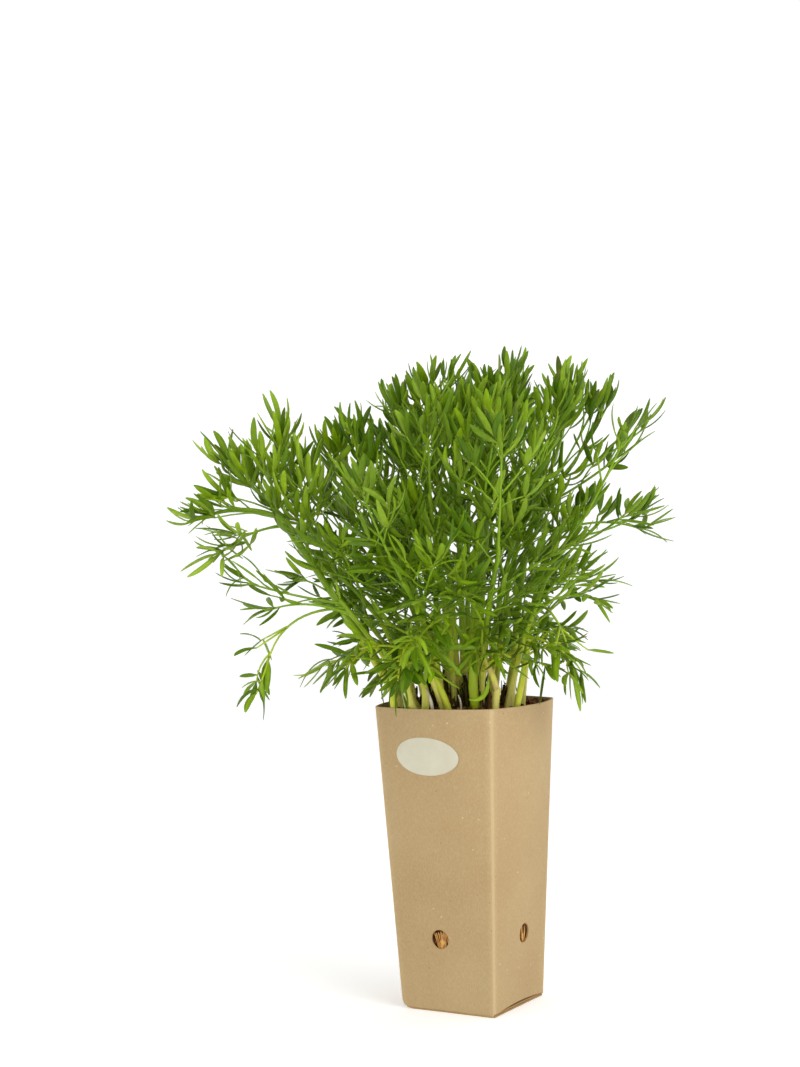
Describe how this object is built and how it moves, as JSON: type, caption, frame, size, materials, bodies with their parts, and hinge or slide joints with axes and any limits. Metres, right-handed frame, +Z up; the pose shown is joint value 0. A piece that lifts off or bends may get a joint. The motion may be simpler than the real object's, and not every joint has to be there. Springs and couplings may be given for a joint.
{
  "type": "potted rock samphire",
  "caption": "Rock samphire with fine fleshy leaves growing in a tall tapered square card pot with round vents and an oval sticker.",
  "frame": {"origin": "centre of the pot's base, on the surface that it stands on", "axes": "+Z up the plant; -Y out of the pot's face with the sticker; +X out of the face to the right of it"},
  "size_m": [0.2834, 0.2647, 0.435],
  "materials": {
    "card": "matte kraft card with fine fibre specks",
    "sticker": "smooth matte cream paper",
    "soil": "rough damp substrate",
    "leaf": "fleshy, slightly glossy leaf",
    "pale_leaf": "fleshy, slightly glossy young leaf"
  },
  "bodies": {
    "root": {"pot": "card", "sticker": "sticker", "soil": "soil", "shoot_01": "pale_leaf", "shoot_02": "leaf", "shoot_03": "leaf", "shoot_04": "leaf", "shoot_05": "leaf", "shoot_06": "leaf", "shoot_07": "leaf", "shoot_08": "leaf", "shoot_09": "leaf", "shoot_10": "leaf", "shoot_11": "leaf", "shoot_12": "leaf", "shoot_13": "leaf", "shoot_14": "leaf", "shoot_15": "leaf", "shoot_16": "leaf", "shoot_17": "leaf", "shoot_18": "leaf", "shoot_19": "leaf", "shoot_20": "leaf", "shoot_21": "leaf", "shoot_22": "leaf", "shoot_23": "leaf", "shoot_24": "leaf", "shoot_25": "leaf", "shoot_26": "leaf", "shoot_27": "leaf", "shoot_28": "leaf", "shoot_29": "leaf", "shoot_30": "leaf", "shoot_31": "leaf"}
  },
  "joints": []
}
